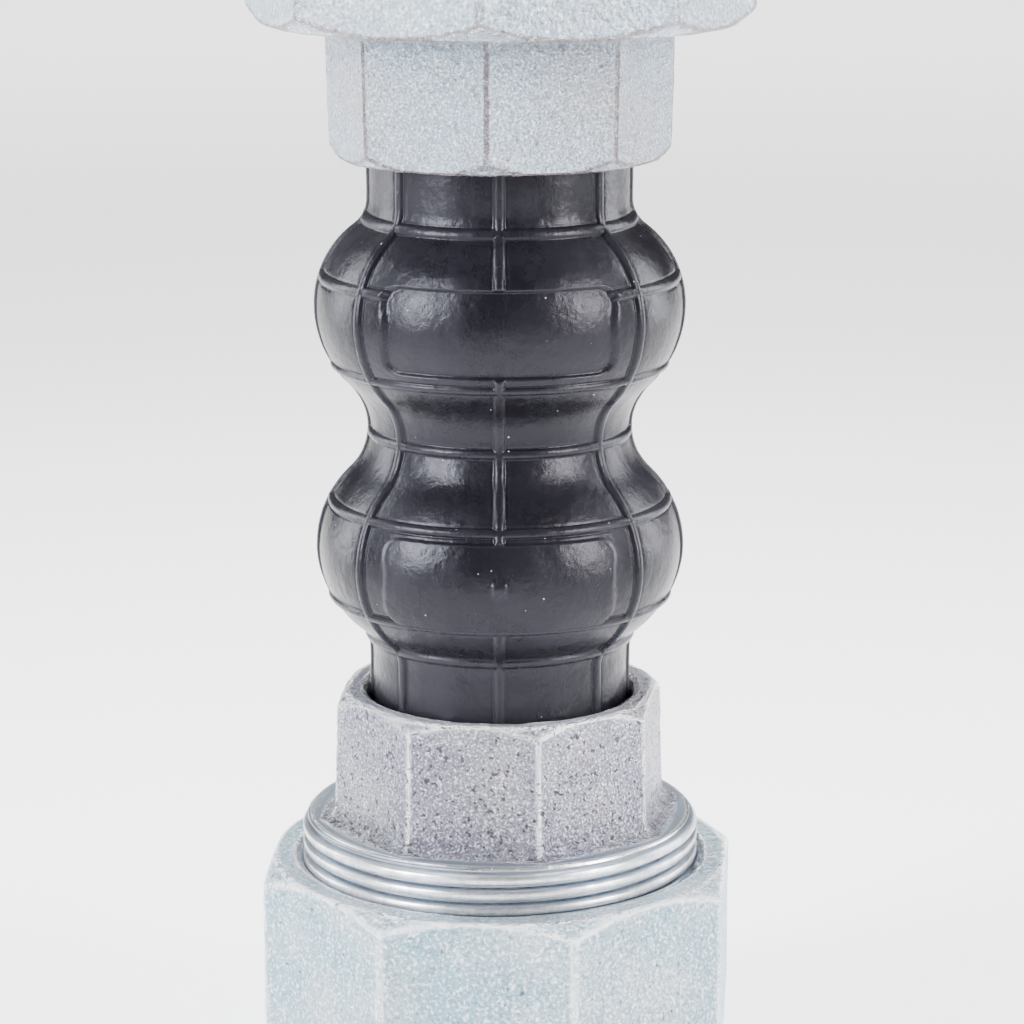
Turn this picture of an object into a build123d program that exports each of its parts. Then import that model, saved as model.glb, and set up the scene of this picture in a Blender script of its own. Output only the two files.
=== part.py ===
from build123d import *
from math import cos, radians, sqrt, tan
import os

# Twin-sphere rubber expansion joint, DN25, with a screwed union at each end.
# Millimetres, +Z up. The origin is the centre of the lower tailpiece's end face.
# "Out" is the distance from the middle of the rubber body towards either end, with the unions tight.

# Overall layout
TIGHT_LENGTH = 200.0                  # end face to end face with both unions tight
THREAD_PITCH = 2.309                  # G2 and G1 are both 11 threads to the inch
BACKED_OFF_TURNS = 2.75               # how far the lower union is unscrewed at rest
TIGHT_MIDDLE = TIGHT_LENGTH / 2       # height of the waist with the lower union tight
MIDDLE = TIGHT_MIDDLE + BACKED_OFF_TURNS * THREAD_PITCH

# Rubber body: outline of the moulded cover, as radii from the pipe axis
NECK_R = 18.95
WAIST_R = 19.05
CREST_R = 26.8
CREST_OUT = 18.1                      # height of each sphere's widest line from the waist
WAIST_FILLET = 9.0
CREST_ARC_WAIST = 16.0                # crest arc on the side towards the waist
CREST_ARC_NECK = 14.5                 # crest arc on the side towards the neck
NECK_FILLET = 5.0
BORE_R = 12.5

# Rubber body: depth of each layer under the cover's surface
COVER_DEPTH = 2.45
OUTER_PLY_DEPTHS = (2.45, 3.35)
INNER_PLY_DEPTHS = (3.45, 4.45)
TUBE_DEPTHS = (4.45, NECK_R - BORE_R)

# Rubber body: the bead that the union clamps
BEAD_R = 25.0
BEAD_FACE_OUT = 73.0
BEAD_CONE_OUT = 62.3                  # where the neck starts to flare
BEAD_SHOULDER_OUT = 65.8              # where the flare meets the bead's rounded corner
BEAD_CORNER = 0.6
TURN_CENTRE = (17.0, 68.5)            # the layers turn outwards round this point, radius and out
PLY_EDGE_R = 23.5                     # cut edge of the cord plies in the bead
HOOP_R = 20.8                         # steel hoop in each bead, centre line
HOOP_OUT = 66.95
HOOP_WIRE_R = 1.4
WRAP_R = 1.8                          # outside of the fabric tape wound round the hoop
HOOP_CAVITY_R = 1.95
WAIST_HOOP_R = 17.75                  # smaller hoop in the cover at the waist
WAIST_HOOP_WIRE_R = 0.7
WAIST_CAVITY_R = 0.8

# Rubber body: moulded lines
RIB_WIDTH = 1.4
RIB_HEIGHT = 0.45
RIB_ROOT = 0.7                        # how far a rib's root is sunk in the cover
RIB_END_OUT = 46.0
RIB_ANGLES = (0, 48.5, 90, 132, 180, 228, 270, 311.5)   # from the front, about +Z
RING_OUTS = (-31.3, -25.0, -10.7, -0.5, 9.7, 22.7, 31.2)
RING_WIRE_R = 0.8
PAD_WIDTH = 33.0                      # name-plate pads, left blank
PAD_CORNER = 3.0
UPPER_PAD = (11.5, 24.1)              # heights above the waist; sunk
LOWER_PAD = (-24.7, -12.2)            # raised
PAD_HEIGHT = 0.4
PAD_SINK = 0.6

# Collar: octagon round the neck, male G2 thread, seat for the bead
COLLAR_FLATS = 47.0
COLLAR_RIM_OUT = 39.8
COLLAR_SHOULDER_OUT = 59.0
COLLAR_END_OUT = 72.0
COLLAR_BORE_R = 19.95
COLLAR_CORNER = 2.0
COLLAR_RIM_CHAMFER = 1.6
COLLAR_MOUTH_CHAMFER = 0.8
COLLAR_DRAFT = 1.5                    # degrees
SEAT_R = 25.4
SEAT_CLEARANCE = 0.35                 # between the bead's flare and the seat
G2_MAJOR_R = 29.807
G2_MINOR_R = 28.328
THREAD_CREST = 0.45                   # flat on each thread's crest and root

# Union nut
NUT_FLATS = 68.5
NUT_HEIGHT = 28.5
NUT_INNER_OUT = 59.2
NUT_BORE_R = 29.95
NUT_RELIEF_R = 30.6
NUT_RELIEF_OUT = 76.5
NUT_LIP_OUT = 81.0
NUT_LIP_R = 22.8
NUT_CORNER = 2.5
NUT_CHAMFER_R = 34.3                  # the chamfers leave a round face of this radius
NUT_CHAMFER_SLOPE = 30.0              # degrees from the face
NUT_MOUTH_CHAMFER = 0.9

# Tailpiece
FLANGE_R = 27.2
FLANGE_OUT = 73.0
SHANK_R = 22.1
TAIL_FLATS = 41.0
TAIL_OCTAGON_OUT = 88.6
TAIL_CORNER = 1.0
TAIL_CHAMFER = 0.8
TAIL_BORE_R = 12.75
G1_MINOR_R = 15.145
G1_DEPTH = 19.0
G1_MOUTH_R = 17.0

# How far each piece of hardware is turned from a vertex facing the front (-Y), degrees about +Z
UPPER_COLLAR_TURN = -4.0
UPPER_NUT_TURN = -4.0
LOWER_COLLAR_TURN = 13.0
LOWER_NUT_TURN = 17.0
UPPER_TAIL_TURN = 9.0
LOWER_TAIL_TURN = -11.0

FRONT = -90.0                         # the front faces -Y


def write(name, shape):
    """Write one piece, or several loose ones, as one node."""
    export_step(shape, f"parts/{name}.step")


def place(shape, side, middle, turn=0.0):
    """Stand a piece, modelled with its out distance along +Z, above (1) or below (-1) the middle."""
    if side < 0:
        shape = shape.mirror(Plane.XY)
    return Pos(0, 0, middle) * Rot(0, 0, turn) * shape


def at(r, out):
    return Vector(r, 0, out)


def spun(points):
    """A solid of revolution from an outline of (radius, out) points."""
    outline = Polyline(*[at(r, out) for r, out in points], close=True)
    return revolve(make_face(outline), Axis.Z)


def arc(centre, start, end):
    """The short arc from start to end round centre."""
    way = (start - centre).normalized() + (end - centre).normalized()
    return ThreePointArc(start, centre + way.normalized() * (start - centre).length, end)


def octagon(flats, height, corner):
    """An upright octagonal prism with rounded edges and a corner facing the front."""
    sketch = RegularPolygon(flats / 2, 8, major_radius=False)
    return extrude(fillet(sketch.vertices(), corner), height)


# Rubber body ---------------------------------------------------------------------------------

def waist_join(depth):
    """Where the waist's hollow meets the sphere, depth under the surface."""
    waist = at(WAIST_R + WAIST_FILLET, 0)
    crest = at(CREST_R - CREST_ARC_WAIST, CREST_OUT)
    return waist + (crest - waist).normalized() * (WAIST_FILLET + depth)


def waist_arc(depth):
    """The hollow of the waist, from the lower sphere to the upper one."""
    upper = waist_join(depth)
    return ThreePointArc(at(upper.X, -upper.Z), at(WAIST_R - depth, 0), upper)


def half_curve(depth, end_out):
    """One half of the body's outline, depth under the surface, from the waist's hollow outwards."""
    crest_in = at(CREST_R - CREST_ARC_WAIST, CREST_OUT)
    crest_out = at(CREST_R - CREST_ARC_NECK, CREST_OUT)
    reach = CREST_ARC_NECK + NECK_FILLET
    rise = sqrt(reach**2 - (NECK_R + NECK_FILLET - crest_out.X)**2)
    neck = at(NECK_R + NECK_FILLET, CREST_OUT + rise)
    neck_join = neck + (crest_out - neck).normalized() * (NECK_FILLET + depth)
    crest = at(CREST_R - depth, CREST_OUT)
    neck_start = at(NECK_R - depth, neck.Z)
    return [
        arc(crest_in, waist_join(depth), crest),
        arc(crest_out, crest, neck_join),
        arc(neck, neck_join, neck_start),
        Line(neck_start, at(NECK_R - depth, end_out)),
    ]


def turned_out(depth, edge_r):
    """The outline's end where a layer turns outwards into the bead, to edge_r."""
    centre = at(*TURN_CENTRE)
    radius = TURN_CENTRE[0] - (NECK_R - depth)
    start = at(NECK_R - depth, TURN_CENTRE[1])
    end = at(TURN_CENTRE[0], TURN_CENTRE[1] + radius)
    return [arc(centre, start, end), Line(end, at(edge_r, end.Z))]


def section(half, depths):
    """The whole cross-section of a layer, from the edges of its upper half."""
    mirrored = [edge.mirror(Plane.XY) for edge in half]
    return make_face(half + mirrored + [waist_arc(depth) for depth in depths])


def layer(depths, edge_r):
    """A layer of the body between two depths, turned out at both ends."""
    edges, ends = [], []
    for depth in depths:
        end = turned_out(depth, edge_r)
        edges += half_curve(depth, TURN_CENTRE[1]) + end
        ends.append(end[-1] @ 1)
    edges.append(Line(*ends))
    return revolve(section(edges, depths), Axis.Z)


def cover_body():
    """The cover without its moulded lines: outside, flare and bead, down to the outer ply."""
    ply_face = turned_out(COVER_DEPTH, PLY_EDGE_R)
    ply_edge_in = ply_face[-1] @ 1
    face_out = TURN_CENTRE[1] + TURN_CENTRE[0] - (NECK_R - TUBE_DEPTHS[0])
    ply_edge_out = at(PLY_EDGE_R, face_out)
    flare_end = at(BEAD_R - BEAD_CORNER, BEAD_SHOULDER_OUT)
    corner_end = at(BEAD_R, BEAD_SHOULDER_OUT + BEAD_CORNER)
    outside = [
        Line(at(NECK_R, BEAD_CONE_OUT), flare_end),
        Line(flare_end, corner_end),
        Line(corner_end, at(BEAD_R, face_out)),
        Line(at(BEAD_R, face_out), ply_edge_out),
        Line(ply_edge_out, ply_edge_in),
    ]
    inside = half_curve(COVER_DEPTH, TURN_CENTRE[1]) + ply_face
    half = half_curve(0, BEAD_CONE_OUT) + outside + inside
    return revolve(section(half, (0, COVER_DEPTH)), Axis.Z)


def band(over, under, end_out):
    """The cross-section of a band along the body between two depths, cut square at its ends."""
    edges = half_curve(over, end_out) + half_curve(under, end_out)
    edges.append(Line(at(NECK_R - over, end_out), at(NECK_R - under, end_out)))
    return section(edges, (over, under))


def rib():
    """One lengthwise moulded line, facing +X."""
    face = band(-RIB_HEIGHT, RIB_ROOT, RIB_END_OUT)
    return extrude(face, RIB_WIDTH / 2, dir=(0, 1, 0), both=True)


def surface_radius(out):
    """Radius of the cover at a distance from the waist, on its plain surface."""
    out = abs(out)
    crest_arc = CREST_ARC_WAIST if out < CREST_OUT else CREST_ARC_NECK
    neck_reach = CREST_ARC_NECK + NECK_FILLET
    neck_rise = sqrt(neck_reach**2 - (NECK_R + neck_reach - CREST_R)**2)
    if out < waist_join(0).Z:
        return WAIST_R + WAIST_FILLET - sqrt(WAIST_FILLET**2 - out**2)
    if out < CREST_OUT + neck_rise * CREST_ARC_NECK / neck_reach:
        return CREST_R - crest_arc + sqrt(crest_arc**2 - (out - CREST_OUT)**2)
    return NECK_R + NECK_FILLET - sqrt(NECK_FILLET**2 - (CREST_OUT + neck_rise - out)**2)


def ring_line(out):
    """One moulded ring round the body, standing RIB_HEIGHT out of the surface."""
    centre_r = surface_radius(out) - RING_WIRE_R + RIB_HEIGHT
    return Pos(0, 0, out) * Torus(centre_r, RING_WIRE_R)


def pad(low, high, top, bottom):
    """A blank plate on the front of a sphere, following its curve between two depths."""
    shell = revolve(band(top, bottom, RIB_END_OUT), Axis.Z)
    outline = Pos(0, (low + high) / 2) * RectangleRounded(PAD_WIDTH, high - low, PAD_CORNER)
    plate = extrude(Plane.XZ * outline, 2 * CREST_R)
    return shell & plate


def outer_cover():
    cover = cover_body()
    for angle in RIB_ANGLES:
        cover += Rot(0, 0, FRONT + angle) * rib()
    for out in RING_OUTS:
        cover += ring_line(out)
    cover += pad(*LOWER_PAD, -PAD_HEIGHT, RIB_ROOT)
    cover -= pad(*UPPER_PAD, -1.0, PAD_SINK)
    for out in (-HOOP_OUT, HOOP_OUT):
        cover -= Pos(0, 0, out) * Torus(HOOP_R, HOOP_CAVITY_R)
    return cover - Torus(WAIST_HOOP_R, WAIST_CAVITY_R)


def bead_hoop():
    return Pos(0, 0, HOOP_OUT) * Torus(HOOP_R, HOOP_WIRE_R)


def bead_wrap():
    ring = Torus(HOOP_R, WRAP_R) - Torus(HOOP_R, HOOP_WIRE_R)
    return Pos(0, 0, HOOP_OUT) * ring


# Union hardware ------------------------------------------------------------------------------

def thread_points(major_r, minor_r, start, end):
    """Outline points of a male thread drawn as rings, from start to end along out."""
    slope = (THREAD_PITCH - 2 * THREAD_CREST) / 2
    points, out = [], start
    while out + THREAD_PITCH <= end:
        points += [(major_r, out), (major_r, out + THREAD_CREST)]
        points += [(minor_r, out + THREAD_CREST + slope), (minor_r, out + 2 * THREAD_CREST + slope)]
        out += THREAD_PITCH
    return points + [(major_r, out), (major_r, end - (major_r - minor_r))]


def seat_out(r):
    """Where the collar's conical seat lies at radius r, just clear of the bead's flare."""
    slope = (BEAD_SHOULDER_OUT - BEAD_CONE_OUT) / (BEAD_R - BEAD_CORNER - NECK_R)
    return BEAD_CONE_OUT + (r - NECK_R) * slope - SEAT_CLEARANCE


def collar():
    """Octagonal sleeve that slides on the neck, with the union's male thread."""
    height = COLLAR_SHOULDER_OUT - COLLAR_RIM_OUT
    head = octagon(COLLAR_FLATS, height + 1, COLLAR_CORNER)
    # the octagon narrows slightly towards the rim, and its rim corners are turned off
    rim_r = COLLAR_FLATS / 2 / cos(radians(22.5)) - 1.0
    foot_r = rim_r + height * tan(radians(COLLAR_DRAFT)) + 1.5
    turned = spun([(0, 0), (rim_r - COLLAR_RIM_CHAMFER, 0), (rim_r, COLLAR_RIM_CHAMFER),
                   (foot_r, height), (foot_r, height + 1), (0, height + 1)])
    head = Pos(0, 0, COLLAR_RIM_OUT) * (head & turned)
    top = COLLAR_SHOULDER_OUT
    thread_start = top + (G2_MAJOR_R - G2_MINOR_R)
    points = [(0, top), (G2_MINOR_R, top)]
    points += thread_points(G2_MAJOR_R, G2_MINOR_R, thread_start, COLLAR_END_OUT)
    points += [(G2_MINOR_R, COLLAR_END_OUT), (0, COLLAR_END_OUT)]
    body = head + spun(points)
    bore = spun([
        (0, COLLAR_RIM_OUT - 1), (COLLAR_BORE_R + COLLAR_MOUTH_CHAMFER + 1, COLLAR_RIM_OUT - 1),
        (COLLAR_BORE_R, COLLAR_RIM_OUT + COLLAR_MOUTH_CHAMFER),
        (COLLAR_BORE_R, seat_out(COLLAR_BORE_R)), (SEAT_R, seat_out(SEAT_R)),
        (SEAT_R, COLLAR_END_OUT + 1), (0, COLLAR_END_OUT + 1)])
    return body - bore


def union_nut():
    """Octagonal nut that runs on the collar and pulls the tailpiece's flange on to the bead."""
    blank = octagon(NUT_FLATS, NUT_HEIGHT, NUT_CORNER)
    corner_r = NUT_FLATS / 2 / cos(radians(22.5))
    drop = (corner_r - NUT_CHAMFER_R) * tan(radians(NUT_CHAMFER_SLOPE))
    turned = spun([(0, 0), (NUT_CHAMFER_R, 0), (corner_r, drop), (corner_r, NUT_HEIGHT - drop),
                   (NUT_CHAMFER_R, NUT_HEIGHT), (0, NUT_HEIGHT)])
    blank = Pos(0, 0, NUT_INNER_OUT) * (blank & turned)
    end = NUT_INNER_OUT + NUT_HEIGHT
    mouth = NUT_MOUTH_CHAMFER
    bore = spun([
        (0, NUT_INNER_OUT - 1), (NUT_BORE_R + mouth + 1, NUT_INNER_OUT - 1),
        (NUT_BORE_R, NUT_INNER_OUT + mouth), (NUT_BORE_R, NUT_RELIEF_OUT - 1),
        (NUT_RELIEF_R, NUT_RELIEF_OUT), (NUT_RELIEF_R, NUT_LIP_OUT), (NUT_LIP_R, NUT_LIP_OUT),
        (NUT_LIP_R, end - mouth), (NUT_LIP_R + mouth + 1, end + 1), (0, end + 1)])
    return blank - bore


def tailpiece():
    """Pipe end: a flange that faces the bead, and an octagon with a female G1 thread."""
    end = TIGHT_LENGTH / 2
    flange = spun([
        (0, FLANGE_OUT), (FLANGE_R - 0.5, FLANGE_OUT), (FLANGE_R, FLANGE_OUT + 0.5),
        (FLANGE_R, NUT_LIP_OUT - 0.6), (FLANGE_R - 0.5, NUT_LIP_OUT - 0.1),
        (SHANK_R, NUT_LIP_OUT - 0.1), (SHANK_R, TAIL_OCTAGON_OUT + 1), (0, TAIL_OCTAGON_OUT + 1)])
    head = octagon(TAIL_FLATS, end - TAIL_OCTAGON_OUT, TAIL_CORNER)
    turned = spun([(0, 0), (SHANK_R, 0), (SHANK_R, end - TAIL_OCTAGON_OUT - TAIL_CHAMFER),
                   (SHANK_R - 2 * TAIL_CHAMFER, end - TAIL_OCTAGON_OUT), (0, end - TAIL_OCTAGON_OUT)])
    body = flange + Pos(0, 0, TAIL_OCTAGON_OUT) * (head & turned)
    mouth = G1_MOUTH_R - G1_MINOR_R
    step = G1_MINOR_R - TAIL_BORE_R
    bore = spun([
        (0, FLANGE_OUT - 1), (TAIL_BORE_R, FLANGE_OUT - 1), (TAIL_BORE_R, end - G1_DEPTH - step),
        (G1_MINOR_R, end - G1_DEPTH), (G1_MINOR_R, end - mouth), (G1_MOUTH_R, end),
        (G1_MOUTH_R, end + 1), (0, end + 1)])
    return body - bore


# Write the nodes -----------------------------------------------------------------------------

os.makedirs("parts", exist_ok=True)

write("inner_tube", place(layer(TUBE_DEPTHS, BEAD_R), 1, MIDDLE))
write("cord_ply_inner", place(layer(INNER_PLY_DEPTHS, PLY_EDGE_R), 1, MIDDLE))
write("cord_ply_outer", place(layer(OUTER_PLY_DEPTHS, PLY_EDGE_R), 1, MIDDLE))
write("outer_cover", place(outer_cover(), 1, MIDDLE))
write("waist_hoop", place(Torus(WAIST_HOOP_R, WAIST_HOOP_WIRE_R), 1, MIDDLE))

ends = (
    ("lower", -1, TIGHT_MIDDLE, LOWER_COLLAR_TURN, LOWER_NUT_TURN, LOWER_TAIL_TURN),
    ("upper", 1, MIDDLE, UPPER_COLLAR_TURN, UPPER_NUT_TURN, UPPER_TAIL_TURN),
)
for name, side, tail_middle, collar_turn, nut_turn, tail_turn in ends:
    write(f"{name}_bead_hoop", place(bead_hoop(), side, MIDDLE))
    write(f"{name}_bead_wrap", place(bead_wrap(), side, MIDDLE))
    write(f"{name}_collar", place(collar(), side, MIDDLE, collar_turn))
    write(f"{name}_union_nut", place(union_nut(), side, tail_middle, nut_turn))
    write(f"{name}_tailpiece", place(tailpiece(), side, tail_middle, tail_turn))
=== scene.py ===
from math import atan2, cos, hypot, pi, radians, sin, sqrt

import bmesh
import bpy
import numpy as np
from mathutils import Matrix, Vector, noise


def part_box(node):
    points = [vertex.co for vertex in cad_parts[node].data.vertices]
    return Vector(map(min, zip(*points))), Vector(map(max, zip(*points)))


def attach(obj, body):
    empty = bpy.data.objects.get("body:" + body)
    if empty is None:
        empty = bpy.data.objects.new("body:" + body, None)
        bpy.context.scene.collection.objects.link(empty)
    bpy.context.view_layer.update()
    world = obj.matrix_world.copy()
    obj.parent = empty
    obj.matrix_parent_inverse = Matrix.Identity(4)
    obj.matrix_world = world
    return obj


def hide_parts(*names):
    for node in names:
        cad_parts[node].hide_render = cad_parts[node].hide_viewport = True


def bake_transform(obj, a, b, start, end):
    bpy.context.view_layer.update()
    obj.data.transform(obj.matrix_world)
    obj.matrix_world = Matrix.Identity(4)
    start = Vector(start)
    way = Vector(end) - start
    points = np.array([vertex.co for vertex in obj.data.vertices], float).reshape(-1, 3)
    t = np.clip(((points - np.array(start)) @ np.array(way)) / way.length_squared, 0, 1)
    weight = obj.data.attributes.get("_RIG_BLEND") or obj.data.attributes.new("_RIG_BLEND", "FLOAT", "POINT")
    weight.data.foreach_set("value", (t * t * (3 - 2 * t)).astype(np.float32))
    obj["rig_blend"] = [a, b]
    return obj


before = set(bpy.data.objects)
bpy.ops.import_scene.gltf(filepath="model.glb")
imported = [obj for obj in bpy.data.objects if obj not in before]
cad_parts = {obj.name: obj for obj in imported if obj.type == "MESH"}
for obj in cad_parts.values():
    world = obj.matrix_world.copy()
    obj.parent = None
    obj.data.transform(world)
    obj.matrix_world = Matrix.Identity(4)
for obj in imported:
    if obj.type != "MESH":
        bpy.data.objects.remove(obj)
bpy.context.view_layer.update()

# Twin-sphere rubber expansion joint. Shapes are worked in millimetres and placed in metres from the frame.
mm = 0.001
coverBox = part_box("outer_cover")
waistZ = (coverBox[0].z + coverBox[1].z) / 2
pitch = 2.309                                   # 11 threads to the inch, for every thread here
turn = 2 * pi
up = Vector((0, 0, 1))
farOut = 99.0                                   # beyond every surface, in millimetres
sideAngle = 45                                  # of each octagon, in degrees
spinBy = dict(cent=(0, 0, 0), axis=up, space=Matrix.Identity(4), use_merge=False, use_normal_flip=False)


def lerp(a, b, t):
    return a + (b - a) * t


def smoothStep(t):
    t = np.clip(t, 0, 1)
    return t * t * (3 - 2 * t)


def softMin(a, b, soft):                        # the smaller of two, with a rounded change-over
    h = np.clip(0.5 + 0.5 * (b - a) / soft, 0, 1)
    return b * (1 - h) + a * h - soft * h * (1 - h)


def stepsBetween(a, b, spacing):                # evenly spaced values from a up to, not with, b
    count = max(1, round(abs(b - a) / spacing))
    return [lerp(a, b, i / count) for i in range(count)]


def crowdedAngles(centres, segments, width=2.4, gain=3.0):
    # evenly spun columns are moved closer together round the given angles, in degrees
    fine = np.linspace(0, 360, 7201)
    density = np.ones_like(fine)
    for centre in centres:
        away = (fine - centre + 180) % 360 - 180
        density += gain * np.exp(-(away / width) ** 2)
    share = np.concatenate([[0], np.cumsum((density[1:] + density[:-1]) / 2)])
    return np.radians(np.interp(np.arange(segments) / segments * share[-1], share, fine))


def spinRound(bm, segments, slices=8):
    # an eighth of the turn first, then that slice copied round and joined up, which is much quicker
    level = (0, 0, 0)
    bmesh.ops.spin(bm, geom=bm.verts[:] + bm.edges[:], angle=turn / slices, steps=segments // slices,
                   dvec=level, use_duplicate=False, **spinBy)
    bmesh.ops.spin(bm, geom=bm.verts[:] + bm.edges[:] + bm.faces[:], angle=turn, steps=slices,
                   dvec=level, use_duplicate=True, **spinBy)
    bmesh.ops.remove_doubles(bm, verts=bm.verts[:], dist=1e-3)


def joinRing(bm, verts):                        # edges from each vertex to the next, and back to the first
    for i, vert in enumerate(verts):
        bm.edges.new((verts[i - 1], vert))


def spinRows(rows, segments, crowd=(), edgeOf=None):
    # rows is a closed section: each is (r, z), or a function of the outline's radius round the piece
    angles = crowdedAngles(crowd, segments)
    edge = edgeOf(angles) if edgeOf else np.zeros(segments)
    places = [row(edge) if callable(row) else row for row in rows]
    places = [(np.broadcast_to(r, segments), np.broadcast_to(z, segments)) for r, z in places]
    bm = bmesh.new()
    rowOf = bm.verts.layers.int.new("row")
    ring = [bm.verts.new((20, 0, i * 0.1)) for i in range(len(rows))]     # spun first, then moved into place
    for i, vert in enumerate(ring):
        vert[rowOf] = i
    joinRing(bm, ring)
    spinRound(bm, segments)
    for vert in bm.verts:
        col = round(atan2(vert.co.y, vert.co.x) / turn * segments) % segments
        r, z = places[vert[rowOf]]
        vert.co = (r[col] * cos(angles[col]), r[col] * sin(angles[col]), z[col])
    bmesh.ops.recalc_face_normals(bm, faces=bm.faces[:])
    bm.normal_update()
    return bm


def octagonEdge(apothem, corner, vertexAngle):
    # radius of an octagon with rounded corners, for each angle round the axis
    half = radians(sideAngle / 2)
    reach = (apothem - corner) / cos(half)
    cornerSpan = atan2(corner * sin(half), reach + corner * cos(half))

    def edgeOf(angles):
        off = (angles - radians(vertexAngle) + half) % (2 * half) - half
        flat = apothem / np.cos(half - np.abs(off))
        inside = np.clip(corner**2 - (reach * np.sin(off)) ** 2, 0, None)
        rounded = reach * np.cos(off) + np.sqrt(inside)
        return np.where(np.abs(off) < cornerSpan, rounded, flat)
    return edgeOf


def addThread(bm, coreR, depth, low, high, crest, foot, hand, phase=0.0, segments=160, inward=False):
    # one helical ridge on a cylinder, its ends turned off at 45 degrees
    side = -1 if inward else 1
    turns = int((high - low) / pitch) + 3
    start = low - 1.5 * pitch + (phase % 1) * pitch
    sunk = -0.25                                # how far the foot stands in the cylinder
    ease, tip, knee = 0.1, 0.12, 0.86           # of the tooth's rounded crest
    flank = [(sunk, foot / 2 + ease), (0, foot / 2), (depth * knee, crest / 2 + ease),
             (depth, crest / 2 - tip)]
    points = [(h, -z) for h, z in flank] + flank[::-1]
    helix = bmesh.new()
    joinRing(helix, [helix.verts.new((coreR + side * h, 0, start + z)) for h, z in points])
    bmesh.ops.spin(helix, geom=helix.verts[:] + helix.edges[:], angle=turn, steps=segments,
                   dvec=(0, 0, hand * pitch / segments), use_duplicate=False, **spinBy)
    first = helix.verts[:] + helix.edges[:] + helix.faces[:]
    for i in range(1, turns):
        copy = bmesh.ops.duplicate(helix, geom=first)["geom"]
        moved = [item for item in copy if isinstance(item, bmesh.types.BMVert)]
        bmesh.ops.translate(helix, vec=(0, 0, i * pitch), verts=moved)
    bmesh.ops.remove_doubles(helix, verts=helix.verts[:], dist=1e-3)
    bmesh.ops.holes_fill(helix, edges=[e for e in helix.edges if e.is_boundary], sides=0)
    bmesh.ops.recalc_face_normals(helix, faces=helix.faces[:])
    for vert in helix.verts:
        r = hypot(vert.co.x, vert.co.y)
        room = min(vert.co.z - low, high - vert.co.z)
        held = min(side * (r - coreR), max(sunk, room - 0.1))
        scale = (coreR + side * held) / r
        vert.co = (vert.co.x * scale, vert.co.y * scale, min(max(vert.co.z, low + 0.02), high - 0.02))
    edge = helix.verts.layers.float.new("edge")
    for vert in helix.verts:
        lift = side * (hypot(vert.co.x, vert.co.y) - coreR) / depth
        vert[edge] = lerp(-0.5, 0.7, max(0, lift))          # painted shade at the root; wear with a painted highlight at the crest
    spare = bpy.data.meshes.new("helix")
    helix.to_mesh(spare)
    helix.free()
    bm.from_mesh(spare)
    bpy.data.meshes.remove(spare)


def wrinkle(bm, amount, weights, size, seed):
    # slow unevenness along the normals, as sand-cast or moulded surfaces have
    bm.normal_update()
    rowOf = bm.verts.layers.int["row"]
    shift = Vector((seed * 7.3, seed * 3.1, seed * 5.7))
    for vert in bm.verts:
        weight = weights[vert[rowOf]]
        if weight:
            wide = noise.noise(vert.co / size + shift)
            tight = noise.noise(vert.co / (size * 0.28) + shift)
            vert.co += vert.normal * amount * weight * (wide + 0.45 * tight)


def edgeValues(bm):
    # the sharpest bend at each vertex: outward positive, folded in negative, per millimetre
    values = []
    for vert in bm.verts:
        bends = [2 * (vert.co - e.other_vert(vert).co).dot(vert.normal) / max(e.calc_length() ** 2, 1e-4)
                 for e in vert.link_edges]
        values.append(max(bends, key=abs))
    return values


def markSurface(bm, weights, pitting):
    # cast, pitting and edge sharpness kept on the vertices for the finishes to read
    bm.normal_update()
    names = ("edge", "cast", "pitting")
    for name in names:
        bm.verts.layers.float.new(name)
    edge, cast, pitted = (bm.verts.layers.float[name] for name in names)
    rowOf = bm.verts.layers.int["row"]
    for vert, value in zip(bm.verts, edgeValues(bm)):
        weight = weights[vert[rowOf]]
        vert[edge], vert[cast], vert[pitted] = value, min(weight, 1), weight * pitting


def makePiece(bm, name, material, nodes, base, side=1, body=None):
    # mirror for the lower end, scale to metres, stand it in the frame and hand it to its body
    if side < 0:
        bmesh.ops.scale(bm, vec=(1, 1, -1), verts=bm.verts[:])
        bmesh.ops.reverse_faces(bm, faces=bm.faces[:])
    bm.normal_update()
    bm.verts.index_update()
    bmesh.ops.scale(bm, vec=(mm, mm, mm), verts=bm.verts[:])
    bmesh.ops.translate(bm, vec=(0, 0, base), verts=bm.verts[:])
    mesh = bpy.data.meshes.new(name)
    for face in bm.faces:
        face.smooth = True
    bm.to_mesh(mesh)
    bm.free()
    mesh.materials.append(material)
    piece = bpy.data.objects.new(name, mesh)
    bpy.context.scene.collection.objects.link(piece)
    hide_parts(*nodes)
    if body:
        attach(piece, body)
    return piece


def node(tree, kind, x=0, y=0, **settings):
    made = tree.nodes.new(kind)
    made.location = (x, y)
    for name, value in settings.items():
        setattr(made, name, value)
    return made


def setInputs(made, **values):
    for name, value in values.items():
        made.inputs[name.replace("_", " ")].default_value = value
    return made


def ramp(tree, source, stops, x=0, y=0):
    made = node(tree, "ShaderNodeValToRGB", x, y)
    while len(made.color_ramp.elements) < len(stops):
        made.color_ramp.elements.new(0.5)
    for element, (position, colour) in zip(made.color_ramp.elements, stops):
        element.position = position
        element.color = (*colour, 1) if isinstance(colour, tuple) else (colour, colour, colour, 1)
    tree.links.new(source, made.inputs["Fac"])
    return made.outputs["Color"]


def mixColour(tree, amount, a, b, blend="MIX", x=0, y=0):
    made = node(tree, "ShaderNodeMix", x, y, data_type="RGBA", blend_type=blend)
    for socket, value in ((made.inputs["Factor"], amount), (made.inputs[6], a), (made.inputs[7], b)):
        if isinstance(value, bpy.types.NodeSocket):
            tree.links.new(value, socket)
        elif isinstance(value, tuple):
            socket.default_value = (*value, 1)
        else:
            socket.default_value = value
    return made.outputs[2]


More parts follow.
